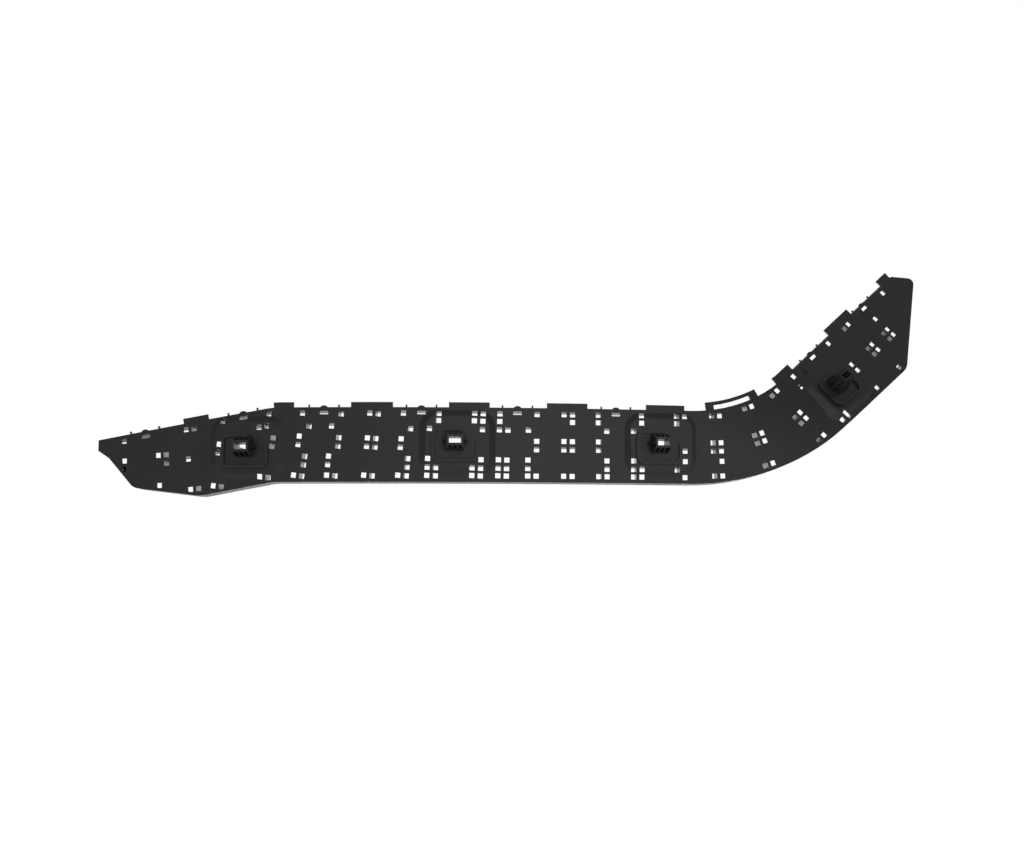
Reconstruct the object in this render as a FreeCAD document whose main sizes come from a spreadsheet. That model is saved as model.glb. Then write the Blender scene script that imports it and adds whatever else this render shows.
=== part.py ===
"""Bumper mounting bracket: one injection-moulded strip that clips a bumper skin to a car body.

The bracket is a curved skin with a rim and a lattice of ribs behind it. Its long run is nearly level and
bows back at both ends, and its right leg climbs at 42 degrees and folds back round the corner of the car.
Four raised seats carry a slotted clip tower each. Square windows sit in the corners of the rib lattice,
and tabs, bumps and teeth stand on the upper edge. Everything is drawn along Y, as the mould opens.

X runs to the right along the strip, Y points away from the viewer and Z points up. The origin is the
centre of the middle clip seat, in the plane of its pad. All lengths are in millimetres.
"""
import FreeCAD, Part
import math
import os

V = FreeCAD.Vector
doc = FreeCAD.newDocument("bumper_bracket")
sheet = doc.addObject("Spreadsheet::Sheet", "Sizes")

SIZES = [
    # Walls
    ("wall", 2.6, "thickness of the skin along the mould's draw"),
    ("back_depth", 22.0, "depth of rim and ribs from the show face, along the draw"),
    ("rim_thickness", 2.5, "thickness of the rim that follows the edge"),
    ("rib_thickness", 1.6, "thickness of the ribs"),
    # The show face: a long bow, and a fold that carries the leg round the corner
    ("bow_radius", 1300.0, "radius of the long bow"),
    ("bow_middle", -67.0, "place along X where the bow comes nearest"),
    ("bow_end", 134.0, "place along X where the bow turns straight"),
    ("fold_start", 225.0, "place along X where the fold begins, at the height of the origin"),
    ("fold_angle", 69.0, "direction in which the fold falls back, from X"),
    ("fold_radius", 165.0, "radius of the fold"),
    ("fold_turn", 29.0, "angle through which the fold turns the leg back"),
    # The outline seen from the front
    ("run_top", 30.5, "height of the run's upper edge"),
    ("run_bottom", -29.5, "height of the run's lower edge"),
    ("tip_x", -290.5, "left end of the bracket"),
    ("tip_top", 5.6, "height of the left tip's upper corner"),
    ("tip_bottom", -3.0, "height of the left tip's lower corner"),
    ("shoulder_x", -146.0, "place where the left wing drops away from the run"),
    ("belly_x", -204.5, "lowest point of the left wing"),
    ("belly_z", -40.3, "height of the lowest point"),
    ("leg_end_x", 421.5, "right end of the leg"),
    ("leg_end_z", 172.3, "top of the leg"),
    ("upper_bend", 125.0, "radius of the upper edge round the bend"),
    ("lower_bend", 205.0, "radius of the lower edge round the bend"),
    # Square windows beside the ribs
    ("window", 4.2, "side of a square window"),
    ("window_gap", 0.5, "wall left between a window and its rib"),
    ("window_reach", 9.0, "how far a window's cutter runs behind the face"),
    # What stands on the upper edge
    ("tab_height", 4.1, "height of the plain tabs"),
    ("hook_height", 6.2, "height of the leg's hooked tabs"),
    ("loop_height", 6.6, "height of the loop at the bend"),
    ("loop_gap", 3.7, "clear height under the loop's bar"),
    ("bump_radius", 4.0, "radius of the edge bumps"),
    ("bump_height", 1.5, "height of the edge bumps"),
    ("tooth_height", 2.0, "height of the edge teeth"),
    ("tooth_width", 1.3, "width of the edge teeth"),
    ("tooth_pitch", 24.0, "distance between the two teeth of an edge unit"),
    ("slot_length", 6.8, "length of the slot below a bump"),
    ("slot_width", 2.8, "width of the slot below a bump"),
    ("slot_drop", 4.3, "distance of the slot's centre below the edge"),
    # Raised clip seats
    ("seat_rise", 3.0, "height of a seat's pad above the skin"),
    ("seat_length", 51.0, "length of the flat pad"),
    ("seat_width", 42.0, "width of the flat pad"),
    ("seat_corner", 9.0, "corner radius of the flat pad"),
    ("skirt_run", 1.5, "sideways run of the skirt for each millimetre of its height"),
    ("seat_root", 4.0, "how far a seat reaches into the skin"),
    ("seat_right", 2.0, "shift of the pad to the right of the bead's centre"),
    ("seat_up", 2.5, "shift of the pad above the bead's centre"),
    # Bead round each clip
    ("bead_length", 38.0, "outer length of the bead"),
    ("bead_width", 27.5, "outer width of the bead"),
    ("bead_corner", 6.5, "outer corner radius of the bead"),
    ("bead_thickness", 2.4, "width of the bead itself"),
    ("bead_height", 1.8, "height of the bead above the pad"),
    ("bead_gap_along", 14.5, "opening at the bead's upper right corner, along the clip"),
    ("bead_gap_down", 10.5, "opening at the bead's upper right corner, down its side"),
    # Clip tower
    ("tower_up", 2.8, "height of the tower's centre above the bead's centre"),
    ("tower_height", 15.0, "height of the tower above the pad"),
    ("tower_wall", 1.8, "wall round the tower's slot"),
    ("socket_length", 9.6, "length of the slot through the tower"),
    ("socket_width", 5.0, "width of the slot through the tower"),
    ("well_margin", 3.0, "clear space round the socket behind the pad, where the plug's legs spring open"),
    ("gusset_thickness", 1.6, "thickness of a gusset"),
    ("gusset_pitch", 4.0, "distance between gussets"),
    ("gusset_foot", 3.8, "reach of a gusset at its foot"),
    ("gusset_head", 0.9, "reach of a gusset at its head"),
    ("gusset_drop", 2.0, "distance of a gusset's head below the tower's mouth"),
]
for row, (alias, value, meaning) in enumerate(SIZES, start=1):
    sheet.set("A%d" % row, alias)
    sheet.set("B%d" % row, str(value))
    sheet.set("C%d" % row, meaning)
    sheet.setAlias("B%d" % row, alias)
doc.recompute()


def size(alias):
    """One driving size, read back from the sheet."""
    return float(getattr(sheet, alias))


# The upper and lower edges of the outline, as corners (x, z, radius of the corner), from left to right.
UPPER_EDGE = [
    (size("tip_x"), size("tip_top"), 0.0),
    (size("shoulder_x"), size("run_top"), 60.0),
    (240.0, size("run_top"), size("upper_bend")),
    (size("leg_end_x") - 24.2, size("leg_end_z"), 5.0),
    (size("leg_end_x"), size("leg_end_z"), 5.0),
]
LOWER_EDGE = [
    (size("leg_end_x") - 26.7, size("leg_end_z") - 93.9, 16.0),
    (265.0, size("run_bottom"), size("lower_bend")),
    (size("shoulder_x"), size("run_bottom"), 40.0),
    (size("belly_x"), size("belly_z"), 30.0),
    (-260.0, -33.3, 10.0),
    (-281.0, -9.3, 4.0),
    (size("tip_x"), size("tip_bottom"), 0.0),
]
OUTLINE = UPPER_EDGE + LOWER_EDGE

# The three long ribs, as corners too. They bow with the run and turn up into the leg.
LONG_RIBS = [
    [(-292.0, -3.5, 0.0), (-140.0, 19.6, 120.0), (0.0, 15.9, 400.0), (245.7, 15.9, 140.0), (430.0, 181.8, 0.0)],
    [(-292.0, -18.9, 0.0), (-140.0, 4.0, 120.0), (0.0, 0.3, 400.0), (259.0, 0.3, 160.0), (435.0, 157.8, 0.0)],
    [(-292.0, -33.0, 0.0), (-140.0, -11.5, 120.0), (0.0, -15.0, 400.0), (264.5, -15.0, 175.0), (435.0, 138.1, 0.0)],
]
MIDDLE_RIB = LONG_RIBS[1]

# Cross ribs: place along X on the middle rib, lean of the top to the right in degrees, and the rows of
# windows on its left and on its right. Row A is below the upper rim, B and C are above and below the first
# long rib, D and E the second, F and G the third, and H is above the lower rim.
CROSS_RIBS = [
    (-264.5, -3.0, "ADE", ""),
    (-236.2, -4.0, "DH", "DE"),
    (-211.8, -6.0, "AEH", "AH"),
    (-186.3, 8.0, "ADEH", "H"),
    (-149.0, 7.0, "ACH", "DEH"),
    (-121.9, 7.5, "ADEH", "CFGH"),
    (-96.6, 5.0, "CFGH", "ADEH"),
    (-67.0, 5.0, "ADEH", "ADEH"),
    (-40.0, 4.8, "ADEH", "CFGH"),
    (-17.6, 3.3, "CFGH", "ABGH"),
    (18.0, 2.7, "ABGH", "ABCFGH"),
    (38.5, 2.0, "ABCFGH", "CFGH"),
    (62.0, 1.0, "CFGH", "ADEH"),
    (90.9, 0.7, "ADEH", "ABDEH"),
    (119.0, 0.0, "ABDEH", "CFGH"),
    (147.5, 0.0, "CFGH", "ABGH"),
    (183.2, 0.0, "ABG", "AEFH"),
    (213.9, -2.0, "ADEH", "ADEFH"),
    (250.0, -19.0, "ADEH", "ADEH"),
    (286.7, -45.4, "ADEH", "ADEH"),
    (304.2, -46.5, "", "AH"),
    (341.3, -44.6, "", "ADEH"),
    (365.1, -47.0, "ADE", "ADEH"),
    (383.4, -45.9, "DE", "CDE"),
]

# Single openings: x, z, length, width and turn in degrees.
SINGLE_OPENINGS = [
    (-156.9, 14.3, 4.2, 4.2, 0.0),
    (289.5, 54.5, 4.2, 4.2, 42.0),
    (328.3, 31.8, 8.2, 3.4, -34.0),
    (385.8, 153.9, 4.2, 4.2, 42.0),
]

# Edge units: places along X of the bumps with their slot and two teeth. The last two stand on the leg.
EDGE_UNITS = [-251.4, -170.7, -105.1, -27.0, 50.0, 130.0, 302.5, 361.0]

# Tabs on the upper edge: from and to along X, and the size that gives the height.
TABS = [
    (-219.1, -198.6, "tab_height"),
    (-145.5, -129.4, "tab_height"),
    (-83.4, -49.8, "tab_height"),
    (-5.0, 27.7, "tab_height"),
    (73.8, 106.7, "tab_height"),
    (154.8, 186.8, "tab_height"),
    (268.0, 284.5, "hook_height"),
    (324.0, 349.5, "hook_height"),
    (385.0, 396.0, "hook_height"),
]
LOOP = (205.0, 250.5)
LOOP_POST = 7.0

# Clip seats: name, x, z and turn of the clip about its own axis.
CLIPS = [
    ("left_wing", -168.0, -4.8, 0.0),
    ("centre", 0.0, 0.0, 0.0),
    ("bend", 165.0, -0.3, 0.0),
    ("leg", 325.3, 56.0, 42.0),
]


FAR = 700.0

# Objects of the document

def plan(name, faces):
    """Flat faces, kept as one drawing in the document."""
    drawing = doc.addObject("Part::Feature", name)
    drawing.Shape = Part.Compound(faces)
    return drawing


def drawn(name, base, forward, backward="0", way=V(0, 1, 0)):
    """A drawing carried along a direction, bound to the sizes that give its reach."""
    solid = doc.addObject("Part::Extrusion", name)
    solid.Base = base
    solid.DirMode = "Custom"
    solid.Dir = way
    solid.Solid = True
    solid.setExpression("LengthFwd", forward)
    solid.setExpression("LengthRev", backward)
    return solid


def box(name, length, width, height, centre_x="0", centre_y="0", base_z="0"):
    """A box about the clip's own axis, every side bound to the sheet."""
    solid = doc.addObject("Part::Box", name)
    solid.setExpression("Length", length)
    solid.setExpression("Width", width)
    solid.setExpression("Height", height)
    solid.setExpression("Placement.Base.x", "%s - (%s) / 2" % (centre_x, length))
    solid.setExpression("Placement.Base.y", "%s - (%s) / 2" % (centre_y, width))
    solid.setExpression("Placement.Base.z", base_z)
    return solid


def fused(name, shapes):
    union = doc.addObject("Part::MultiFuse", name)
    union.Shapes = shapes
    return union


def cut(name, base, tool):
    result = doc.addObject("Part::Cut", name)
    result.Base, result.Tool = base, tool
    return result


def common(name, base, tool):
    result = doc.addObject("Part::Common", name)
    result.Base, result.Tool = base, tool
    return result


def moved_back(name, master, distance):
    """A form again, further back by a size."""
    copy = doc.addObject("App::Link", name)
    copy.LinkedObject = master
    copy.setExpression("Placement.Base.y", distance)
    return copy


# Section: the show face, as everything behind a bowed profile and behind a folded one

def bow_profile():
    """The space behind the long bow and the straight that follows it, seen from above."""
    radius, middle, end = size("bow_radius"), size("bow_middle"), size("bow_end")

    def on_bow(x):
        return V(x, radius - math.sqrt(radius ** 2 - (x - middle) ** 2), 0)

    slope = math.asin((end - middle) / radius)
    left, tangent = on_bow(size("tip_x") - 40.0), on_bow(end)
    right = tangent + V(math.cos(slope), math.sin(slope), 0) * FAR
    back = [V(right.x, FAR, 0), V(left.x, FAR, 0)]
    edges = [Part.Arc(left, on_bow((left.x + end) / 2.0), tangent).toShape()]
    for start, finish in zip([tangent, right] + back, [right] + back + [left]):
        edges.append(Part.LineSegment(start, finish).toShape())
    low_corner = V(0, 0, -FAR / 2.0)
    profile = Part.Face(Part.Wire(edges))
    profile.translate(low_corner)
    fold_line_start = tangent + V(1, math.tan(slope), 0) * (size("fold_start") - end)
    return profile, fold_line_start, slope


def fold_profile(origin, slope):
    """The space behind the fold, drawn square to the line along which the leg folds back."""
    angle, turn, radius = (math.radians(size(name)) if name != "fold_radius" else size(name)
                           for name in ("fold_angle", "fold_turn", "fold_radius"))
    straight = V(math.cos(slope), math.sin(slope), 0)
    backward = V(-math.sin(slope), math.cos(slope), 0)
    line = (straight * (math.sin(angle) / math.cos(slope)) - V(0, 0, math.cos(angle))).normalize()
    upward = line.cross(backward).normalize()
    if upward.z < 0:
        upward = upward * -1.0

    def place(along, behind):
        return origin + upward * along + backward * behind - line * FAR

    def on_fold(part_turn):
        return place(radius * math.sin(part_turn), radius * (1.0 - math.cos(part_turn)))

    tangent = on_fold(turn)
    leg_end = tangent + (upward * math.cos(turn) + backward * math.sin(turn)) * FAR
    straight_end = place(-FAR, 0.0)
    back = [leg_end + backward * FAR, place(-FAR, 2.0 * FAR)]
    edges = [Part.LineSegment(straight_end, place(0, 0)).toShape(),
             Part.Arc(place(0, 0), on_fold(turn / 2.0), tangent).toShape(),
             Part.LineSegment(tangent, leg_end).toShape(),
             Part.LineSegment(leg_end, back[0]).toShape(),
             Part.LineSegment(back[0], back[1]).toShape(),
             Part.LineSegment(back[1], straight_end).toShape()]
    return Part.Face(Part.Wire(edges)), line


bow_face, fold_origin, straight_slope = bow_profile()
fold_face, fold_line = fold_profile(fold_origin, straight_slope)
bow_block = drawn("bow_block", plan("bow_profile", [bow_face]), str(FAR), "0", V(0, 0, 1))
fold_block = drawn("fold_block", plan("fold_profile", [fold_face]), str(2.0 * FAR), "0", fold_line)
behind_face = common("behind_face", bow_block, fold_block)
doc.recompute()


def bow_and_fold(x, z):
    """Y of the show face before it is set against the origin."""
    ray = Part.LineSegment(V(x, -FAR / 2.0, z), V(x, FAR / 2.0, z)).toShape()
    inside = ray.common(behind_face.Shape)
    return inside.BoundBox.YMin


def front_normal(x, z):
    """Unit normal of the show face, towards the viewer."""
    step = 0.5
    slope_x = (bow_and_fold(x + step, z) - bow_and_fold(x - step, z)) / (2.0 * step)
    slope_z = (bow_and_fold(x, z + step) - bow_and_fold(x, z - step)) / (2.0 * step)
    return V(slope_x, -1.0, slope_z).normalize()


# The centre seat's pad goes through the origin, so the face lies behind it by the seat's rise.
FACE_SHIFT = size("seat_rise") / abs(front_normal(0.0, 0.0).y) - bow_and_fold(0.0, 0.0)


def face_depth(x, z):
    """Y of the show face at a place seen from the front."""
    return bow_and_fold(x, z) + FACE_SHIFT


# Drawing in the XZ plane, the plane that the viewer sees

def unit(dx, dz):
    length = math.hypot(dx, dz)
    return dx / length, dz / length


def moved_aside(corners, distance, closed):
    """The same corners moved to the left of the way along them, with their radii fitted."""
    count = len(corners)
    result = []
    for i, (x, z, radius) in enumerate(corners):
        before, after = corners[i - 1], corners[(i + 1) % count]
        if not closed and i == 0:
            before = (2 * x - after[0], 2 * z - after[1])
        if not closed and i == count - 1:
            after = (2 * x - before[0], 2 * z - before[1])
        d1, d2 = unit(x - before[0], z - before[1]), unit(after[0] - x, after[1] - z)
        n1, n2 = (-d1[1], d1[0]), (-d2[1], d2[0])
        share = distance / (1.0 + n1[0] * n2[0] + n1[1] * n2[1])
        turn = d1[0] * d2[1] - d1[1] * d2[0]
        fitted = radius - math.copysign(distance, turn) if radius > 0.0 else 0.0
        result.append((x + (n1[0] + n2[0]) * share, z + (n1[1] + n2[1]) * share, max(fitted, 0.0)))
    return result


def path_edges(corners, closed):
    """Straight runs joined by tangent arcs, one arc for each corner that has a radius."""
    count = len(corners)
    stations = []
    for i, (x, z, radius) in enumerate(corners):
        is_end = not closed and i in (0, count - 1)
        if radius <= 0.0 or is_end:
            stations.append((V(x, 0, z), None, V(x, 0, z)))
            continue
        before, after = corners[i - 1], corners[(i + 1) % count]
        d1, d2 = unit(x - before[0], z - before[1]), unit(after[0] - x, after[1] - z)
        half = 0.5 * math.acos(max(-1.0, min(1.0, d1[0] * d2[0] + d1[1] * d2[1])))
        reach = radius * math.tan(half)
        inward = unit(d2[0] - d1[0], d2[1] - d1[1])
        sag = radius / math.cos(half) - radius
        stations.append((V(x - d1[0] * reach, 0, z - d1[1] * reach),
                         V(x + inward[0] * sag, 0, z + inward[1] * sag),
                         V(x + d2[0] * reach, 0, z + d2[1] * reach)))
    edges = []
    for i, (start, middle, end) in enumerate(stations):
        if middle is not None:
            edges.append(Part.Arc(start, middle, end).toShape())
        if i + 1 < count or closed:
            following = stations[(i + 1) % count][0]
            if end.distanceToPoint(following) > 1e-6:
                edges.append(Part.LineSegment(end, following).toShape())
    return edges


def closed_face(edges):
    return Part.Face(Part.Wire(Part.__sortEdges__(edges)))


def outline_face(grown=0.0):
    """The bracket's outline, grown outwards or, below zero, shrunk inwards."""
    return closed_face(path_edges(moved_aside(OUTLINE, grown, True), True))


def strip_face(corners, width):
    """A strip of one width along a path."""
    left = path_edges(moved_aside(corners, width / 2.0, False), False)
    right = path_edges(moved_aside(corners, -width / 2.0, False), False)
    ends = [Part.LineSegment(left[i].Vertexes[j].Point, right[i].Vertexes[j].Point).toShape()
            for i, j in ((0, 0), (-1, -1))]
    return closed_face(left + right + ends)


def box_face(centre, along, length, width):
    """A rectangle about a centre, with its length along a direction."""
    across = V(-along.z, 0, along.x)
    a, b = along * (length / 2.0), across * (width / 2.0)
    corners = [centre - a - b, centre + a - b, centre + a + b, centre - a + b]
    return Part.Face(Part.makePolygon(corners + corners[:1]))


def crossing(point, direction, edges):
    """The nearest place where a line through a point meets a path."""
    reach = 400.0
    line = Part.LineSegment(point - direction * reach, point + direction * reach).toShape()
    _, pairs, _ = line.distToShape(Part.Wire(Part.__sortEdges__(edges)))
    return min((pair[0] for pair in pairs), key=lambda place: place.distanceToPoint(point))


def upper_edge_at(x):
    """The place on the upper edge above x, and the edge's direction there."""
    edges = path_edges(UPPER_EDGE, False)
    step = 0.25
    here, left, right = (crossing(V(at, 0, size("run_top")), V(0, 0, 1), edges) for at in (x, x - step, x + step))
    return here, (right - left).normalize()


def cross_rib_frame(x, lean):
    """Where a cross rib meets the middle rib, with its upward and rightward directions."""
    middle = crossing(V(x, 0, MIDDLE_RIB[1][1]), V(0, 0, 1), path_edges(MIDDLE_RIB, False))
    angle = math.radians(lean)
    return middle, V(math.sin(angle), 0, math.cos(angle)), V(math.cos(angle), 0, -math.sin(angle))


def cross_rib_face(x, lean, within):
    """A cross rib from the upper to the lower edge of the outline."""
    middle, up, _ = cross_rib_frame(x, lean)
    reach = 90.0
    ends = []
    for way in (up, up * -1.0):
        inside = Part.LineSegment(middle, middle + way * reach).toShape().common(within)
        nearest = min(inside.Edges, key=lambda edge: edge.distToShape(Part.Vertex(middle))[0])
        ends.append(max((v.Point for v in nearest.Vertexes), key=lambda p: p.distanceToPoint(middle)))
    return box_face((ends[0] + ends[1]) * 0.5, up, (ends[0] - ends[1]).Length, size("rib_thickness"))


def window_places():
    """Centre and upward direction of every window beside a cross rib."""
    inner_rim = -size("rim_thickness")
    rim_top = path_edges(moved_aside(UPPER_EDGE, inner_rim, False), False)
    rim_bottom = path_edges(moved_aside(LOWER_EDGE, inner_rim, False), False)
    ribs = [path_edges(rib, False) for rib in LONG_RIBS]
    clear = size("window_gap") + size("window") / 2.0
    beside_rib = size("rib_thickness") / 2.0 + clear
    rows = {
        "A": (rim_top, -clear), "B": (ribs[0], beside_rib), "C": (ribs[0], -beside_rib),
        "D": (ribs[1], beside_rib), "E": (ribs[1], -beside_rib), "F": (ribs[2], beside_rib),
        "G": (ribs[2], -beside_rib), "H": (rim_bottom, clear),
    }
    places = []
    for x, lean, left_rows, right_rows in CROSS_RIBS:
        middle, up, right = cross_rib_frame(x, lean)
        for names, side in ((left_rows, -1.0), (right_rows, 1.0)):
            for name in names:
                edges, above = rows[name]
                foot = crossing(middle, up, edges)
                places.append((foot + up * above + right * (side * beside_rib), up))
    return places


def rounded_block_wire(name, length, width, corner, centre, level):
    """A rectangle with round corners, level in a clip's own frame."""
    x0, x1 = centre[0] - length / 2.0, centre[0] + length / 2.0
    y0, y1 = centre[1] - width / 2.0, centre[1] + width / 2.0
    wire = Part.Wire(path_edges([(x0, y0, corner), (x1, y0, corner), (x1, y1, corner), (x0, y1, corner)], True))
    wire.Placement = FreeCAD.Placement(V(0, 0, level), FreeCAD.Rotation(V(1, 0, 0), -90))
    feature = doc.addObject("Part::Feature", name)
    feature.Shape = wire
    return feature


def clip_frame(x, z, turn):
    """A clip's own frame: its axis stands on the face, and its origin lies in the plane of the pad."""
    normal = front_normal(x, z)
    angle = math.radians(turn)
    along = V(math.cos(angle), 0, math.sin(angle))
    along = (along - normal * along.dot(normal)).normalize()
    upward = normal.cross(along)
    origin = V(x, face_depth(x, z) - size("seat_rise") / abs(normal.y), z)
    matrix = FreeCAD.Matrix(along.x, upward.x, normal.x, origin.x,
                            along.y, upward.y, normal.y, origin.y,
                            along.z, upward.z, normal.z, origin.z,
                            0, 0, 0, 1)
    return FreeCAD.Placement(matrix)


def placed_on_seats(name, master):
    """One copy of a clip's form on each of the four seats."""
    copies = []
    for clip_name, x, z, turn in CLIPS:
        copy = doc.addObject("App::Link", "%s_%s" % (name, clip_name))
        copy.LinkedObject = master
        copy.Placement = clip_frame(x, z, turn)
        copies.append(copy)
    return copies


def rounded_block(name, length, width, corner, level, height):
    """A block with round corners, standing on a level of the clip's own frame."""
    block = doc.addObject("Part::Extrusion", name)
    block.Base = rounded_block_wire(name + "_outline", length, width, corner, (0.0, 0.0), level)
    block.DirMode = "Custom"
    block.Dir = V(0, 0, 1)
    block.Solid = True
    block.setExpression("LengthFwd", height)
    return block


def seat_block(name, behind):
    """A raised seat with sloping skirts: its pad in front, its wide root inside the skin."""
    wires = []
    for label, level in (("pad", 0.0), ("root", -(size("seat_rise") + size("seat_root")))):
        spread = -2.0 * size("skirt_run") * level
        wires.append(rounded_block_wire("%s_%s" % (name, label), size("seat_length") + spread,
                                        size("seat_width") + spread, size("seat_corner") + spread / 2.0,
                                        (size("seat_right"), size("seat_up")), level - behind))
    loft = doc.addObject("Part::Loft", name)
    loft.Sections = wires
    loft.Solid = True
    loft.Ruled = True
    return loft


# Section: the skin, its raised seats, and the rim and ribs behind it

show_space = moved_back("show_space", behind_face, str(FACE_SHIFT))
behind_skin = moved_back("behind_skin", behind_face, "%f + Sizes.wall" % FACE_SHIFT)
behind_ribs = moved_back("behind_ribs", behind_face, "%f + Sizes.back_depth" % FACE_SHIFT)
outline = plan("outline", [outline_face()])
outline_block = drawn("outline_block", outline, "400", "100")

seats = placed_on_seats("seat", seat_block("seat_form", 0.0))
seat_hollows = placed_on_seats("seat_hollow", seat_block("seat_hollow_form", size("wall")))

solid_plate = cut("solid_plate", common("show_prism", outline_block, show_space), behind_ribs)
seated_plate = fused("seated_plate", [solid_plate] + seats)
blank = common("blank", seated_plate, outline_block)

within = outline_face()
rib_faces = [strip_face(rib, size("rib_thickness")) for rib in LONG_RIBS]
rib_faces += [cross_rib_face(x, lean, within) for x, lean, _, _ in CROSS_RIBS]
cell_plan = plan("cell_plan", outline_face(-size("rim_thickness")).cut(rib_faces).Faces)
hollow = fused("hollow", [common("skin_hollow", behind_skin, outline_block)] + seat_hollows)
cells = common("cells", drawn("cell_block", cell_plan, "400", "100"), hollow)
ribbed_skin = cut("ribbed_skin", blank, cells)


# Section: tabs, loop, bumps and teeth on the upper edge

EDGE_OVERLAP = 1.0


def band_above_edge(height, x_from, x_to):
    """The strip between the upper edge and a line above it, from one cross line to another."""
    band = outline_face(height).cut(outline_face(-EDGE_OVERLAP))
    keeps = []
    for x, way in ((x_from, 1.0), (x_to, -1.0)):
        place, along = upper_edge_at(x)
        reach = 120.0
        keeps.append(box_face(place + along * (way * reach / 2.0), along, reach, 50.0))
    return band.common(keeps[0]).common(keeps[1])


def edge_face(x, along_from, along_to, up_from, up_to):
    """A rectangle in the frame of the upper edge at x."""
    place, along = upper_edge_at(x)
    outward = V(-along.z, 0, along.x)
    centre = place + along * ((along_from + along_to) / 2.0) + outward * ((up_from + up_to) / 2.0)
    return box_face(centre, along, along_to - along_from, up_to - up_from)


def bump_face(x):
    place, along = upper_edge_at(x)
    outward = V(-along.z, 0, along.x)
    centre = place + outward * (size("bump_height") - size("bump_radius"))
    return Part.Face(Part.Wire(Part.makeCircle(size("bump_radius"), centre, V(0, 1, 0))))


standing = []
for x_from, x_to, height in TABS:
    standing.append(band_above_edge(size(height), x_from, x_to))
loop_band = band_above_edge(size("loop_height"), *LOOP)
loop_hole = band_above_edge(size("loop_gap"), LOOP[0] + LOOP_POST, LOOP[1] - LOOP_POST).cut(within)
standing.append(loop_band.cut(loop_hole))
tooth_half = size("tooth_width") / 2.0
for x in EDGE_UNITS:
    standing.append(bump_face(x))
    for side in (-0.5, 0.5):
        middle = side * size("tooth_pitch")
        standing.append(edge_face(x, middle - tooth_half, middle + tooth_half, -2.0, size("tooth_height")))
standing_plan = plan("standing", [face for drawing in standing for face in drawing.Faces])
standing_block = drawn("standing_block", standing_plan, "400", "100")
tabs = cut("tabs", common("standing_prism", standing_block, show_space), behind_skin)


# Section: bead and slotted tower of a clip, in the clip's own frame

bead_ring = cut("bead_ring",
                rounded_block("bead_outer", size("bead_length"), size("bead_width"), size("bead_corner"),
                              -0.5, "Sizes.bead_height + 0.5"),
                rounded_block("bead_inner", size("bead_length") - 2.0 * size("bead_thickness"),
                              size("bead_width") - 2.0 * size("bead_thickness"),
                              size("bead_corner") - size("bead_thickness"), -1.0, "Sizes.bead_height + 2"))
bead_opening = box("bead_opening", "Sizes.bead_gap_along", "Sizes.bead_gap_down", "Sizes.bead_height + 2",
                   "(Sizes.bead_length - Sizes.bead_gap_along) / 2",
                   "(Sizes.bead_width - Sizes.bead_gap_down) / 2", "-1")
bead = cut("bead", bead_ring, bead_opening)

TOWER_LENGTH = "(Sizes.socket_length + 2 * Sizes.tower_wall)"
TOWER_WIDTH = "(Sizes.socket_width + 2 * Sizes.tower_wall)"
tower = box("tower", TOWER_LENGTH, TOWER_WIDTH, "Sizes.tower_height + Sizes.wall / 2", "0", "Sizes.tower_up",
            "-Sizes.wall / 2")


def gusset(name, centre_along, centre_up, turn):
    """A tapering fin that stands on the pad and leans on the tower, facing out at a turn about the axis."""
    fin = doc.addObject("Part::Wedge", name)
    fin.setExpression("Xmin", "-Sizes.gusset_thickness / 2")
    fin.setExpression("Xmax", "Sizes.gusset_thickness / 2")
    fin.setExpression("X2min", "-Sizes.gusset_thickness / 2")
    fin.setExpression("X2max", "Sizes.gusset_thickness / 2")
    fin.setExpression("Ymin", "-Sizes.wall / 2")
    fin.setExpression("Ymax", "Sizes.tower_height - Sizes.gusset_drop")
    fin.setExpression("Zmin", "-Sizes.gusset_foot")
    fin.setExpression("Z2min", "-Sizes.gusset_head")
    fin.setExpression("Zmax", "Sizes.tower_wall / 2")
    fin.setExpression("Z2max", "Sizes.tower_wall / 2")
    upright = FreeCAD.Rotation(V(1, 0, 0), 90)
    fin.Placement = FreeCAD.Placement(V(centre_along, centre_up, 0), FreeCAD.Rotation(V(0, 0, 1), turn) * upright)
    return fin


half_length = size("socket_length") / 2.0 + size("tower_wall")
half_width = size("socket_width") / 2.0 + size("tower_wall")
gussets = []
for i in range(4):
    along = (i - 1.5) * size("gusset_pitch")
    gussets.append(gusset("gusset_top_%d" % i, along, size("tower_up") + half_width, 0))
    gussets.append(gusset("gusset_bottom_%d" % i, along, size("tower_up") - half_width, 180))
gussets.append(gusset("gusset_left", -half_length, size("tower_up"), 90))
gussets.append(gusset("gusset_right", half_length, size("tower_up"), -90))
clip_form = fused("clip_form", [bead, tower] + gussets)
socket_slot = box("socket_slot", "Sizes.socket_length", "Sizes.socket_width",
                  "Sizes.tower_height + Sizes.wall + 10", "0", "Sizes.tower_up", "-Sizes.wall - 5")
socket_well = box("socket_well", "Sizes.socket_length + 2 * Sizes.well_margin",
                  "Sizes.socket_width + 2 * Sizes.well_margin", "Sizes.back_depth + 5",
                  "0", "Sizes.tower_up", "-Sizes.wall - Sizes.back_depth - 5")
socket_form = fused("socket_form", [socket_slot, socket_well])


# Section: windows and slots through the skin

def cutter(face, centre):
    """A flat face moved just in front of the skin, to be cut through it."""
    face.translate(V(0, face_depth(centre.x, centre.z) - size("wall") - size("seat_rise") - 2.0, 0))
    return face


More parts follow.
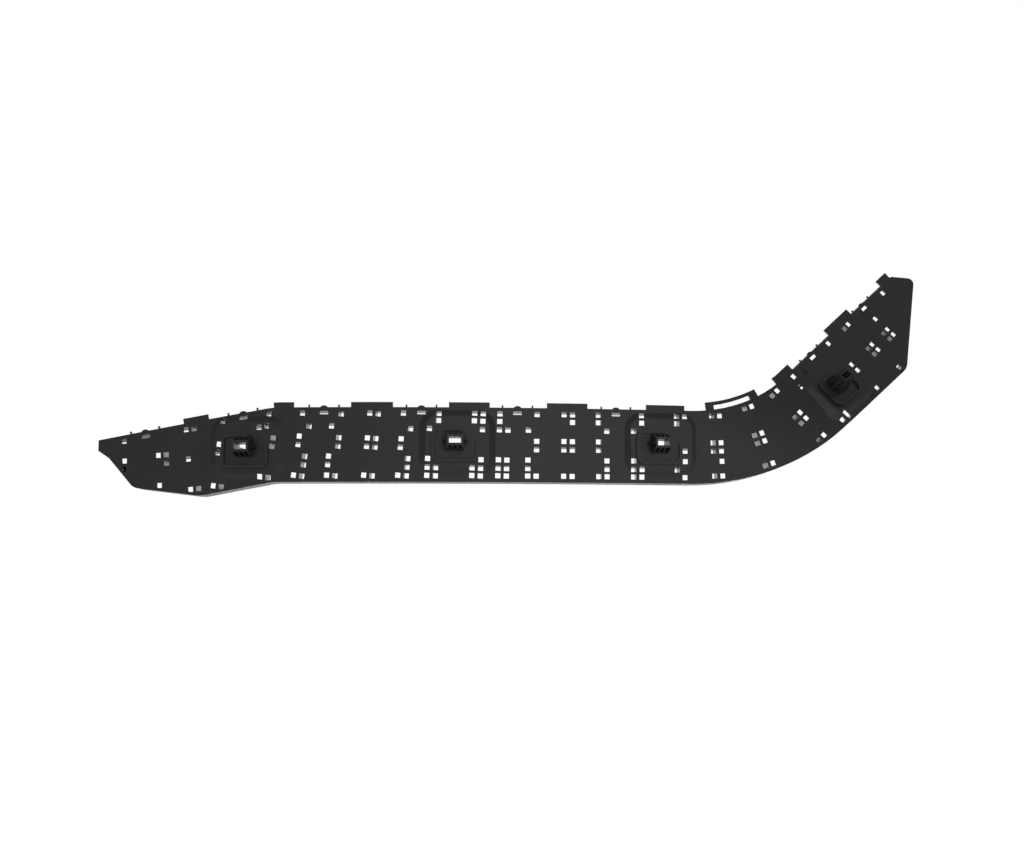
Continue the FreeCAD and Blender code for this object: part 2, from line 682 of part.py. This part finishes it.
openings = []
for centre, up in window_places():
    openings.append(cutter(box_face(centre, up, size("window"), size("window")), centre))
for x, z, length, width, turn in SINGLE_OPENINGS:
    angle = math.radians(turn)
    centre = V(x, 0, z)
    openings.append(cutter(box_face(centre, V(math.cos(angle), 0, math.sin(angle)), length, width), centre))
for x in EDGE_UNITS:
    place, along = upper_edge_at(x)
    centre = place + V(along.z, 0, -along.x) * size("slot_drop")
    openings.append(cutter(box_face(centre, along, size("slot_length"), size("slot_width")), centre))
opening_cuts = drawn("opening_cuts", plan("openings", openings), "Sizes.window_reach + Sizes.seat_rise + Sizes.wall")

solid_bracket = fused("solid_bracket", [ribbed_skin, tabs] + placed_on_seats("clip", clip_form))
sockets = doc.addObject("Part::Compound", "sockets")
sockets.Links = placed_on_seats("socket", socket_form)
pierced = cut("pierced", solid_bracket, opening_cuts)
bracket = cut("bracket", pierced, sockets)
bracket.Label = "bracket"
doc.recompute()


# Section: checks and export

for thing in doc.Objects:
    if "Invalid" in thing.State or "Error" in thing.State:
        raise RuntimeError("%s failed: %s" % (thing.Name, thing.State))
shape = bracket.Shape
if shape.isNull() or not shape.isValid() or len(shape.Solids) != 1:
    raise RuntimeError("bracket: valid %s, solids %d" % (shape.isValid(), len(shape.Solids)))
os.makedirs("parts", exist_ok=True)
shape.Solids[0].exportStep("parts/%s.step" % bracket.Label)
print("bracket volume %.0f mm3, faces %d, box %s" % (shape.Volume, len(shape.Faces), shape.BoundBox))
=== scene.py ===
"""Bumper mounting bracket: the looks of the moulded strip and a plain studio around it.

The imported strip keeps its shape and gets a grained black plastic. Fine marks that the mould leaves on its
show face, the ejector marks and the thin witness lines, are laid on the face by Geometry Nodes. Sizes are
in metres, X runs along the strip, Y points away from the viewer and Z points up.
"""

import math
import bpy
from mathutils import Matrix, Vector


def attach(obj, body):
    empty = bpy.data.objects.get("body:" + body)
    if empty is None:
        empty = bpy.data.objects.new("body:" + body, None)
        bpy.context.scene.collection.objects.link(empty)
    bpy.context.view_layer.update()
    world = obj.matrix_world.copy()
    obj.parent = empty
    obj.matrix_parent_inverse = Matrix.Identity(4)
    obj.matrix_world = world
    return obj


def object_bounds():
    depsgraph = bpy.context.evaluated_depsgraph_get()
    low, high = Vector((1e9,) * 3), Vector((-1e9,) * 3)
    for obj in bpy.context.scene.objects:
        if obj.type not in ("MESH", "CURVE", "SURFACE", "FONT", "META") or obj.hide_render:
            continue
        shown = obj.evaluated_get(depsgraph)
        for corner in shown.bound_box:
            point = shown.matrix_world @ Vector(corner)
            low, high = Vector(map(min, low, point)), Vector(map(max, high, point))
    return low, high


bl_info = {
    "name": "Bumper Mounting Bracket",
    "version": (1, 0, 0),
    "blender": (4, 5, 0),
    "location": "View3D > Sidebar > Bracket",
    "description": "Grained plastic, mould marks and a plain studio for a bumper mounting bracket",
    "category": "Object",
}

import bpy
from mathutils import Vector

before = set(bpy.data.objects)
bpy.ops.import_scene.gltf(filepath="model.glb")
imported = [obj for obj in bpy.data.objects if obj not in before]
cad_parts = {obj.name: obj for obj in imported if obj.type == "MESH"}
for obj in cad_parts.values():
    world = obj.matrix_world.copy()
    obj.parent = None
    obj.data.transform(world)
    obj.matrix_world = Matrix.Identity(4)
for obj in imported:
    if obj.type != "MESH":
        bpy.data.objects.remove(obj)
CAD_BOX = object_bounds()
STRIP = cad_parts["bracket"]
BODY = "root"
MM = 0.001

# Ejector marks: x and z on the show face, and diameter, in millimetres.
EJECTOR_MARKS = [
    (400.3, 131.1, 2.6), (389.1, 141.6, 2.6), (407.5, 136.4, 2.2), (405.1, 124.8, 2.2),
    (398.5, 105.0, 2.6), (417.4, 165.9, 2.2), (311.0, 87.9, 2.2),
]

# Witness lines: corners x and z of each line on the show face, in millimetres.
WITNESS_LINES = [
    [(290.6, 74.6), (299.9, 65.3)],
    [(359.5, 132.6), (367.3, 125.9), (388.6, 142.1)],
    [(348.1, 54.0), (357.9, 49.9)],
]

# Mould marks: where their points start in front of the strip, how finely a line follows the face, and the
# disc that each ejector mark is scaled from.
MARK_START = CAD_BOX[0][1] - 0.1
LINE_STEP = 0.003
RAY_LENGTH = 2.0
DISC_SIDES = 24
DISC_TOP_RADIUS = 0.42
DISC_FOOT_RADIUS = 0.5

# Plastic: how far a scuff leans from the strip's length, and how much the slow change in tone shows.
SCUFF_LEAN = 0.35
TONE_IN_COLOR = 0.3
TONE_IN_ROUGHNESS = 0.08

# Studio: floor, sky and camera. A patch of sky is a direction and the range over which it brightens.
FLOOR_REACH = 6.0
FLOOR_WHITE = 1.09
FLOOR_WHITE_SHARE = 0.9
SKY_STRENGTH = 0.75
GLOSS_DIM = 0.45
FRONT_PATCH = ((0.16, -0.98, 0.11), 0.6, 0.97)
BACK_PATCH = ((0.0, 1.0, 0.0), 0.5, 0.9)
SENSOR_WIDTH = 36.0
CAMERA_AIM = (0.0456, 0.0013, 0.0164)


class BracketPlastic(bpy.types.PropertyGroup):
    """Colour and surface of the moulded plastic."""
    color: bpy.props.FloatVectorProperty(
        name="Colour", description="Colour of the plastic", subtype="COLOR", size=3,
        default=(0.010, 0.010, 0.011), min=0.0, max=1.0)
    worn_color: bpy.props.FloatVectorProperty(
        name="Worn colour", description="Colour where handling has dulled the plastic",
        subtype="COLOR", size=3, default=(0.020, 0.020, 0.021), min=0.0, max=1.0)
    roughness: bpy.props.FloatProperty(
        name="Roughness", description="Roughness of the grained face", subtype="FACTOR",
        default=0.5, min=0.0, max=1.0)
    sheen: bpy.props.FloatProperty(
        name="Specular level", description="How strongly the face reflects straight on", subtype="FACTOR",
        default=0.3, min=0.0, max=1.0)
    grain_size: bpy.props.FloatProperty(
        name="Grain size", description="Width of one grain of the texture", subtype="DISTANCE", unit="LENGTH",
        default=0.0007, min=0.0001, max=0.01)
    grain_depth: bpy.props.FloatProperty(
        name="Grain depth", description="Depth of the grain", subtype="DISTANCE", unit="LENGTH",
        default=0.00004, min=0.0, max=0.001)


class BracketMarks(bpy.types.PropertyGroup):
    """Sizes of the marks that the mould leaves."""
    mark_rise: bpy.props.FloatProperty(
        name="Mark rise", description="How far an ejector mark stands above the face",
        subtype="DISTANCE", unit="LENGTH", default=0.00025, min=0.0, max=0.002)
    line_width: bpy.props.FloatProperty(
        name="Line width", description="Width of a witness line", subtype="DISTANCE", unit="LENGTH",
        default=0.0007, min=0.0001, max=0.005)
    line_rise: bpy.props.FloatProperty(
        name="Line rise", description="How far a witness line stands above the face",
        subtype="DISTANCE", unit="LENGTH", default=0.0002, min=0.0, max=0.002)


class BracketStage(bpy.types.PropertyGroup):
    """The studio and the camera."""
    floor_color: bpy.props.FloatVectorProperty(
        name="Floor colour", description="Colour of the floor", subtype="COLOR", size=3,
        default=(0.9, 0.9, 0.9), min=0.0, max=1.0)
    floor_drop: bpy.props.FloatProperty(
        name="Floor drop", description="Distance of the floor below the strip's lowest point",
        subtype="DISTANCE", unit="LENGTH", default=0.21, min=0.0, max=2.0)
    camera_distance: bpy.props.FloatProperty(
        name="Camera distance", description="Distance of the camera from the point that it looks at",
        subtype="DISTANCE", unit="LENGTH", default=1.1, min=0.1, max=10.0)
    camera_tilt: bpy.props.FloatProperty(
        name="Camera tilt", description="Angle by which the camera looks up",
        subtype="ANGLE", unit="ROTATION", default=math.radians(6.3), min=-1.5, max=1.5)
    focal_length: bpy.props.FloatProperty(
        name="Focal length", description="Lens in millimetres on a 36 mm sensor",
        default=48.34, min=10.0, max=200.0)


def object_coordinates(tree):
    """The piece's own coordinates, for patterns that stay on it."""
    return tree.nodes.new("ShaderNodeTexCoord").outputs["Object"]


def new_group(name, inputs, outputs):
    """A shader node group with named float inputs and outputs."""
    group = bpy.data.node_groups.new(name, "ShaderNodeTree")
    for label, default in inputs:
        socket = group.interface.new_socket(label, in_out="INPUT", socket_type="NodeSocketFloat")
        socket.default_value = default
    for label in outputs:
        group.interface.new_socket(label, in_out="OUTPUT", socket_type="NodeSocketFloat")
    return group, group.nodes.new("NodeGroupInput"), group.nodes.new("NodeGroupOutput")


def math_node(tree, operation, first, second):
    """A Math node whose two inputs are sockets or numbers."""
    node = tree.nodes.new("ShaderNodeMath")
    node.operation = operation
    for index, value in enumerate((first, second)):
        if isinstance(value, (int, float)):
            node.inputs[index].default_value = value
        else:
            tree.links.new(value, node.inputs[index])
    return node.outputs[0]


def ramp(tree, value, low, high):
    """A value spread from 0 at low to 1 at high."""
    node = tree.nodes.new("ShaderNodeMapRange")
    node.inputs["From Min"].default_value = low
    node.inputs["From Max"].default_value = high
    tree.links.new(value, node.inputs["Value"])
    return node.outputs["Result"]


def grain_group():
    """Fine moulded grain: a height in grain units, and a mask of slow change in tone."""
    group, inputs, outputs = new_group(
        "Moulded Grain", [("Grain size", 0.0007), ("Patch size", 0.06)], ["Height", "Tone"])
    place = object_coordinates(group)
    cells = group.nodes.new("ShaderNodeTexVoronoi")
    cells.feature = "SMOOTH_F1"
    cells.inputs["Smoothness"].default_value = 0.6
    group.links.new(place, cells.inputs["Vector"])
    group.links.new(math_node(group, "DIVIDE", 1.0, inputs.outputs["Grain size"]), cells.inputs["Scale"])
    pits = group.nodes.new("ShaderNodeTexNoise")
    pits.inputs["Detail"].default_value = 3.0
    group.links.new(place, pits.inputs["Vector"])
    group.links.new(math_node(group, "DIVIDE", 0.5, inputs.outputs["Grain size"]), pits.inputs["Scale"])
    height = math_node(group, "ADD", cells.outputs["Distance"], pits.outputs["Fac"])
    group.links.new(height, outputs.inputs["Height"])
    patches = group.nodes.new("ShaderNodeTexNoise")
    patches.inputs["Detail"].default_value = 5.0
    patches.inputs["Roughness"].default_value = 0.6
    group.links.new(place, patches.inputs["Vector"])
    group.links.new(math_node(group, "DIVIDE", 1.0, inputs.outputs["Patch size"]), patches.inputs["Scale"])
    group.links.new(ramp(group, patches.outputs["Fac"], 0.35, 0.7), outputs.inputs["Tone"])
    return group


def scuff_group():
    """Faint scuffs from handling: a mask of thin lines along the strip."""
    group, inputs, outputs = new_group(
        "Handling Scuffs", [("Scuff length", 0.03), ("Scuff width", 0.0006), ("Amount", 0.3)], ["Mask"])
    place = object_coordinates(group)
    split = group.nodes.new("ShaderNodeSeparateXYZ")
    group.links.new(place, split.inputs["Vector"])
    lean = math_node(group, "MULTIPLY", split.outputs["X"], SCUFF_LEAN)
    leaning = math_node(group, "ADD", split.outputs["Z"], lean)
    combine = group.nodes.new("ShaderNodeCombineXYZ")
    group.links.new(math_node(group, "DIVIDE", split.outputs["X"], inputs.outputs["Scuff length"]),
                    combine.inputs["X"])
    group.links.new(math_node(group, "DIVIDE", leaning, inputs.outputs["Scuff width"]), combine.inputs["Z"])
    streaks = group.nodes.new("ShaderNodeTexNoise")
    streaks.inputs["Scale"].default_value = 1.0
    streaks.inputs["Detail"].default_value = 2.0
    group.links.new(combine.outputs["Vector"], streaks.inputs["Vector"])
    thin = ramp(group, streaks.outputs["Fac"], 0.70, 0.78)
    places = group.nodes.new("ShaderNodeTexNoise")
    places.inputs["Scale"].default_value = 22.0
    group.links.new(place, places.inputs["Vector"])
    patchy = math_node(group, "MULTIPLY", thin, ramp(group, places.outputs["Fac"], 0.5, 0.65))
    group.links.new(math_node(group, "MULTIPLY", patchy, inputs.outputs["Amount"]), outputs.inputs["Mask"])
    return group


def plastic_material(name, plastic, grain_share, scuffs):
    """Black moulded plastic. The share says how much of the grain this surface has."""
    material = bpy.data.materials.new(name)
    material.use_nodes = True
    tree = material.node_tree
    shader = tree.nodes["Principled BSDF"]
    shader.inputs["IOR"].default_value = 1.49
    shader.inputs["Specular IOR Level"].default_value = plastic.sheen
    grain = tree.nodes.new("ShaderNodeGroup")
    grain.node_tree = bpy.data.node_groups["Moulded Grain"]
    grain.inputs["Grain size"].default_value = plastic.grain_size
    scuff = tree.nodes.new("ShaderNodeGroup")
    scuff.node_tree = bpy.data.node_groups["Handling Scuffs"]
    scuff.inputs["Amount"].default_value = scuffs
    wear = math_node(tree, "MAXIMUM", math_node(tree, "MULTIPLY", grain.outputs["Tone"], TONE_IN_COLOR),
                     scuff.outputs["Mask"])
    tint = tree.nodes.new("ShaderNodeMix")
    tint.data_type = "RGBA"
    tint.inputs["A"].default_value = (*plastic.color, 1.0)
    tint.inputs["B"].default_value = (*plastic.worn_color, 1.0)
    tree.links.new(wear, tint.inputs["Factor"])
    tree.links.new(tint.outputs["Result"], shader.inputs["Base Color"])
    rough = math_node(tree, "ADD", math_node(tree, "MULTIPLY", grain.outputs["Tone"], TONE_IN_ROUGHNESS),
                      plastic.roughness - TONE_IN_ROUGHNESS / 2.0)
    tree.links.new(rough, shader.inputs["Roughness"])
    bump = tree.nodes.new("ShaderNodeBump")
    bump.inputs["Strength"].default_value = 1.0
    bump.inputs["Distance"].default_value = plastic.grain_depth * grain_share
    tree.links.new(grain.outputs["Height"], bump.inputs["Height"])
    tree.links.new(bump.outputs["Normal"], shader.inputs["Normal"])
    return material


class GeometryTree:
    """A Geometry Nodes tree under construction, with short ways to add and join nodes."""

    def __init__(self, name):
        self.tree = bpy.data.node_groups.new(name, "GeometryNodeTree")
        self.tree.interface.new_socket("Geometry", in_out="INPUT", socket_type="NodeSocketGeometry")
        self.tree.interface.new_socket("Geometry", in_out="OUTPUT", socket_type="NodeSocketGeometry")
        self.inputs = self.tree.nodes.new("NodeGroupInput")
        self.outputs = self.tree.nodes.new("NodeGroupOutput")

    def add_input(self, name, kind):
        """A named input of the tree, as the socket to link from."""
        self.tree.interface.new_socket(name, in_out="INPUT", socket_type=kind)
        return self.inputs.outputs[name]

    def node(self, kind, **settings):
        """A new node with its settings."""
        node = self.tree.nodes.new(kind)
        for key, value in settings.items():
            setattr(node, key, value)
        return node

    def link(self, source, target):
        """A link from one socket to another."""
        self.tree.links.new(source, target)

    def hit_on_face(self, surface):
        """A raycast from each point straight back along Y to the surface."""
        info = self.node("GeometryNodeObjectInfo", transform_space="ORIGINAL")
        self.link(surface, info.inputs["Object"])
        ray = self.node("GeometryNodeRaycast")
        ray.inputs["Ray Direction"].default_value = (0.0, 1.0, 0.0)
        ray.inputs["Ray Length"].default_value = RAY_LENGTH
        self.link(info.outputs["Geometry"], ray.inputs["Target Geometry"])
        return ray

    def finish(self, geometry, material):
        """Realize Instances and Set Material at the end of the tree."""
        realize = self.node("GeometryNodeRealizeInstances")
        paint = self.node("GeometryNodeSetMaterial")
        self.link(geometry, realize.inputs["Geometry"])
        self.link(realize.outputs["Geometry"], paint.inputs["Geometry"])
        self.link(material, paint.inputs["Material"])
        self.link(paint.outputs["Geometry"], self.outputs.inputs["Geometry"])
        return self.tree


def settled(name, source, tree, values):
    """The object that a tree makes of a source mesh, as a plain mesh riding on the strip's body."""
    seed = bpy.data.objects.new(name + "_seed", source)
    bpy.context.scene.collection.objects.link(seed)
    modifier = seed.modifiers.new(name, "NODES")
    modifier.node_group = tree
    for item in tree.interface.items_tree:
        if item.in_out == "INPUT" and item.name in values:
            modifier[item.identifier] = values[item.name]
    bpy.context.view_layer.update()
    evaluated = seed.evaluated_get(bpy.context.evaluated_depsgraph_get())
    mesh = bpy.data.meshes.new_from_object(evaluated)
    seed.modifiers.remove(modifier)
    bpy.data.objects.remove(seed)
    piece = bpy.data.objects.new(name, mesh)
    bpy.context.scene.collection.objects.link(piece)
    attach(piece, BODY)
    return piece


def ejector_tree():
    """One shallow domed disc on the face for each point, as wide as the point's diameter says."""
    tree = GeometryTree("Ejector Marks")
    surface = tree.add_input("Surface", "NodeSocketObject")
    rise = tree.add_input("Rise", "NodeSocketFloat")
    material = tree.add_input("Material", "NodeSocketMaterial")
    ray = tree.hit_on_face(surface)
    placed = tree.node("GeometryNodeSetPosition")
    tree.link(ray.outputs["Hit Position"], placed.inputs["Position"])
    turn = tree.node("FunctionNodeAlignEulerToVector", axis="Z")
    normal = tree.node("GeometryNodeCaptureAttribute")
    normal.capture_items.new("VECTOR", "face_normal")
    tree.link(tree.inputs.outputs["Geometry"], normal.inputs["Geometry"])
    tree.link(ray.outputs["Hit Normal"], normal.inputs["face_normal"])
    tree.link(normal.outputs["Geometry"], placed.inputs["Geometry"])
    tree.link(normal.outputs["face_normal"], turn.inputs["Vector"])
    disc = tree.node("GeometryNodeMeshCone", fill_type="NGON")
    disc.inputs["Vertices"].default_value = DISC_SIDES
    disc.inputs["Radius Top"].default_value = DISC_TOP_RADIUS
    disc.inputs["Radius Bottom"].default_value = DISC_FOOT_RADIUS
    disc.inputs["Depth"].default_value = 1.0
    instance = tree.node("GeometryNodeInstanceOnPoints")
    width = tree.node("GeometryNodeInputNamedAttribute", data_type="FLOAT")
    width.inputs["Name"].default_value = "diameter"
    scale = tree.node("ShaderNodeCombineXYZ")
    tree.link(width.outputs["Attribute"], scale.inputs["X"])
    tree.link(width.outputs["Attribute"], scale.inputs["Y"])
    tree.link(rise, scale.inputs["Z"])
    tree.link(placed.outputs["Geometry"], instance.inputs["Points"])
    tree.link(disc.outputs["Mesh"], instance.inputs["Instance"])
    tree.link(turn.outputs["Rotation"], instance.inputs["Rotation"])
    tree.link(scale.outputs["Vector"], instance.inputs["Scale"])
    return tree.finish(instance.outputs["Instances"], material)


def witness_tree():
    """Each line laid on the face and given a thin flat section."""
    tree = GeometryTree("Witness Lines")
    surface = tree.add_input("Surface", "NodeSocketObject")
    width = tree.add_input("Width", "NodeSocketFloat")
    rise = tree.add_input("Rise", "NodeSocketFloat")
    material = tree.add_input("Material", "NodeSocketMaterial")
    curve = tree.node("GeometryNodeMeshToCurve")
    tree.link(tree.inputs.outputs["Geometry"], curve.inputs["Mesh"])
    even = tree.node("GeometryNodeResampleCurve", mode="LENGTH")
    even.inputs["Length"].default_value = LINE_STEP
    tree.link(curve.outputs["Curve"], even.inputs["Curve"])
    ray = tree.hit_on_face(surface)
    placed = tree.node("GeometryNodeSetPosition")
    tree.link(even.outputs["Curve"], placed.inputs["Geometry"])
    tree.link(ray.outputs["Hit Position"], placed.inputs["Position"])
    section = tree.node("GeometryNodeCurvePrimitiveQuadrilateral", mode="RECTANGLE")
    tree.link(width, section.inputs["Width"])
    double = tree.node("ShaderNodeMath", operation="MULTIPLY")
    double.inputs[1].default_value = 2.0
    tree.link(rise, double.inputs[0])
    tree.link(double.outputs[0], section.inputs["Height"])
    line = tree.node("GeometryNodeCurveToMesh")
    line.inputs["Fill Caps"].default_value = True
    tree.link(placed.outputs["Geometry"], line.inputs["Curve"])
    tree.link(section.outputs["Curve"], line.inputs["Profile Curve"])
    return tree.finish(line.outputs["Mesh"], material)


def points_mesh(name, places):
    """A mesh of bare points in front of the strip, each with its diameter."""
    mesh = bpy.data.meshes.new(name)
    mesh.from_pydata([(x * MM, MARK_START, z * MM) for x, z, _ in places], [], [])
    widths = mesh.attributes.new("diameter", "FLOAT", "POINT")
    for item, (_, _, diameter) in zip(widths.data, places):
        item.value = diameter * MM
    return mesh


def lines_mesh(name, lines):
    """A mesh of bare edges in front of the strip, one chain for each line."""
    mesh = bpy.data.meshes.new(name)
    points, edges = [], []
    for line in lines:
        start = len(points)
        points += [(x * MM, MARK_START, z * MM) for x, z in line]
        edges += [(start + i, start + i + 1) for i in range(len(line) - 1)]
    mesh.from_pydata(points, edges, [])
    return mesh


class BRACKET_OT_plastic(bpy.types.Operator):
    """Give the moulded strip its grained black plastic"""
    bl_idname = "bracket.plastic"
    bl_label = "Dress the strip"

    def execute(self, context):
        plastic = context.scene.bracket_plastic
        grain_group()
        scuff_group()
        material = plastic_material("Black grained plastic", plastic, 1.0, 0.3)
        plastic_material("Mould-polished plastic", plastic, 0.25, 0.0)
        STRIP.data.materials.clear()
        STRIP.data.materials.append(material)
        return {"FINISHED"}


class BRACKET_OT_marks(bpy.types.Operator):
    """Lay the ejector marks and the witness lines on the show face"""
    bl_idname = "bracket.marks"
    bl_label = "Add the mould's marks"

    def execute(self, context):
        marks = context.scene.bracket_marks
        polished = bpy.data.materials["Mould-polished plastic"]
        settled("ejector_marks", points_mesh("ejector_points", EJECTOR_MARKS), ejector_tree(),
                {"Surface": STRIP, "Rise": marks.mark_rise, "Material": polished})
        settled("witness_lines", lines_mesh("witness_chains", WITNESS_LINES), witness_tree(),
                {"Surface": STRIP, "Width": marks.line_width, "Rise": marks.line_rise, "Material": polished})
        return {"FINISHED"}


def floor_material(color):
    """A pale floor that the camera sees nearly white, with the strip's soft shadow left on it."""
    material = bpy.data.materials.new("Pale floor")
    material.use_nodes = True
    tree = material.node_tree
    shader = tree.nodes["Principled BSDF"]
    shader.inputs["Base Color"].default_value = (*color, 1.0)
    shader.inputs["Roughness"].default_value = 0.9
    shader.inputs["Specular IOR Level"].default_value = 0.0
    white = tree.nodes.new("ShaderNodeEmission")
    white.inputs["Color"].default_value = (1.0, 1.0, 1.0, 1.0)
    white.inputs["Strength"].default_value = FLOOR_WHITE
    path = tree.nodes.new("ShaderNodeLightPath")
    seen = math_node(tree, "MAXIMUM", path.outputs["Is Camera Ray"], path.outputs["Is Glossy Ray"])
    seen = math_node(tree, "MAXIMUM", seen, path.outputs["Is Transmission Ray"])
    mix = tree.nodes.new("ShaderNodeMixShader")
    tree.links.new(math_node(tree, "MULTIPLY", seen, FLOOR_WHITE_SHARE), mix.inputs["Fac"])
    tree.links.new(shader.outputs["BSDF"], mix.inputs[1])
    tree.links.new(white.outputs["Emission"], mix.inputs[2])
    tree.links.new(mix.outputs["Shader"], tree.nodes["Material Output"].inputs["Surface"])
    return material


def sky_patch(tree, toward, low, high):
    """A mask of the sky: 1 towards a direction, falling to 0 away from it."""
    sight = tree.nodes.new("ShaderNodeTexCoord")
    facing = tree.nodes.new("ShaderNodeVectorMath")
    facing.operation = "DOT_PRODUCT"
    facing.inputs[1].default_value = Vector(toward).normalized()
    tree.links.new(sight.outputs["Generated"], facing.inputs[0])
    return ramp(tree, facing.outputs["Value"], low, high)


def studio_world(strength, dim):
    """A soft tent: an even dim sky for the light, bright behind the camera and behind the strip in its gloss,
    and plain white where the camera sees it."""
    world = bpy.data.worlds.new("Studio")
    world.use_nodes = True
    tree = world.node_tree
    lighting = tree.nodes["Background"]
    lighting.inputs["Color"].default_value = (1.0, 1.0, 1.0, 1.0)
    path = tree.nodes.new("ShaderNodeLightPath")
    front = sky_patch(tree, *FRONT_PATCH)
    bright = math_node(tree, "MAXIMUM", front, sky_patch(tree, *BACK_PATCH))
    gloss = math_node(tree, "ADD", math_node(tree, "MULTIPLY", bright, 1.0 - dim), dim)
    extra = math_node(tree, "SUBTRACT", gloss, strength)
    mirrored = math_node(tree, "MULTIPLY", path.outputs["Is Glossy Ray"], extra)
    tree.links.new(math_node(tree, "ADD", mirrored, strength), lighting.inputs["Strength"])
    white = tree.nodes.new("ShaderNodeBackground")
    white.inputs["Color"].default_value = (1.0, 1.0, 1.0, 1.0)
    seen = math_node(tree, "MAXIMUM", path.outputs["Is Camera Ray"], path.outputs["Is Transmission Ray"])
    mix = tree.nodes.new("ShaderNodeMixShader")
    tree.links.new(seen, mix.inputs["Fac"])
    tree.links.new(lighting.outputs["Background"], mix.inputs[1])
    tree.links.new(white.outputs["Background"], mix.inputs[2])
    tree.links.new(mix.outputs["Shader"], tree.nodes["World Output"].inputs["Surface"])
    bpy.context.scene.world = world


def soft_lamp(name, place, aim, power, width, spread):
    """A square area lamp that points at a place, with the angle over which it spreads."""
    lamp = bpy.data.lights.new(name, "AREA")
    lamp.energy = power
    lamp.size = width
    lamp.spread = math.radians(spread)
    lamp_object = bpy.data.objects.new(name, lamp)
    lamp_object.location = place
    lamp_object.rotation_euler = (Vector(aim) - Vector(place)).to_track_quat("-Z", "Y").to_euler()
    bpy.context.scene.collection.objects.link(lamp_object)


class BRACKET_OT_stage(bpy.types.Operator):
    """Set up the floor, the light and the camera"""
    bl_idname = "bracket.stage"
    bl_label = "Set up the studio"

    def execute(self, context):
        stage = context.scene.bracket_stage
        low, high = CAD_BOX
        floor_mesh = bpy.data.meshes.new("floor")
        level = low[2] - stage.floor_drop
        corners = [(x * FLOOR_REACH, y * FLOOR_REACH, level) for x, y in ((-1, -1), (1, -1), (1, 1), (-1, 1))]
        floor_mesh.from_pydata(corners, [], [(0, 1, 2, 3)])
        floor_mesh.materials.append(floor_material(stage.floor_color))
        floor = bpy.data.objects.new("floor", floor_mesh)
        context.scene.collection.objects.link(floor)
        middle_x = (low[0] + high[0]) / 2.0
        studio_world(SKY_STRENGTH, GLOSS_DIM)
        soft_lamp("key", (0.42, -1.25, 0.15), (0.12, 0.0, 0.0), 2.4, 0.5, 180.0)
        soft_lamp("back", (0.2, 0.9, -0.15), (middle_x, 0.05, 0.0), 12.0, 1.4, 180.0)
        camera = bpy.data.objects.new("camera", bpy.data.cameras.new("camera"))
        camera.data.lens = stage.focal_length
        camera.data.sensor_width = SENSOR_WIDTH
        camera.data.clip_start = 0.01
        aim = Vector(CAMERA_AIM)
        backward = Vector((0.0, -math.cos(stage.camera_tilt), -math.sin(stage.camera_tilt)))
        camera.location = aim + backward * stage.camera_distance
        camera.rotation_euler = (math.pi / 2.0 + stage.camera_tilt, 0.0, 0.0)
        context.scene.collection.objects.link(camera)
        context.scene.camera = camera
        context.scene.view_settings.view_transform = "Standard"
        return {"FINISHED"}


class BRACKET_PT_panel(bpy.types.Panel):
    """Lists the steps that make the bracket's scene"""
    bl_label = "Bumper mounting bracket"
    bl_idname = "BRACKET_PT_panel"
    bl_space_type = "VIEW_3D"
    bl_region_type = "UI"
    bl_category = "Bracket"

    def draw(self, context):
        layout = self.layout
        for operator in OPERATORS:
            layout.operator(operator.bl_idname)
        scene = context.scene
        for settings in (scene.bracket_plastic, scene.bracket_marks, scene.bracket_stage):
            for name in settings.__annotations__:
                layout.prop(settings, name)


OPERATORS = (BRACKET_OT_plastic, BRACKET_OT_marks, BRACKET_OT_stage)
CLASSES = (BracketPlastic, BracketMarks, BracketStage, *OPERATORS, BRACKET_PT_panel)


def register():
    for cls in CLASSES:
        bpy.utils.register_class(cls)
    bpy.types.Scene.bracket_plastic = bpy.props.PointerProperty(type=BracketPlastic)
    bpy.types.Scene.bracket_marks = bpy.props.PointerProperty(type=BracketMarks)
    bpy.types.Scene.bracket_stage = bpy.props.PointerProperty(type=BracketStage)


def unregister():
    del bpy.types.Scene.bracket_stage
    del bpy.types.Scene.bracket_marks
    del bpy.types.Scene.bracket_plastic
    for cls in reversed(CLASSES):
        bpy.utils.unregister_class(cls)


def main():
    """Builds the whole scene."""
    register()
    bpy.ops.bracket.plastic()
    bpy.ops.bracket.marks()
    bpy.ops.bracket.stage()


if __name__ == "__main__":
    main()
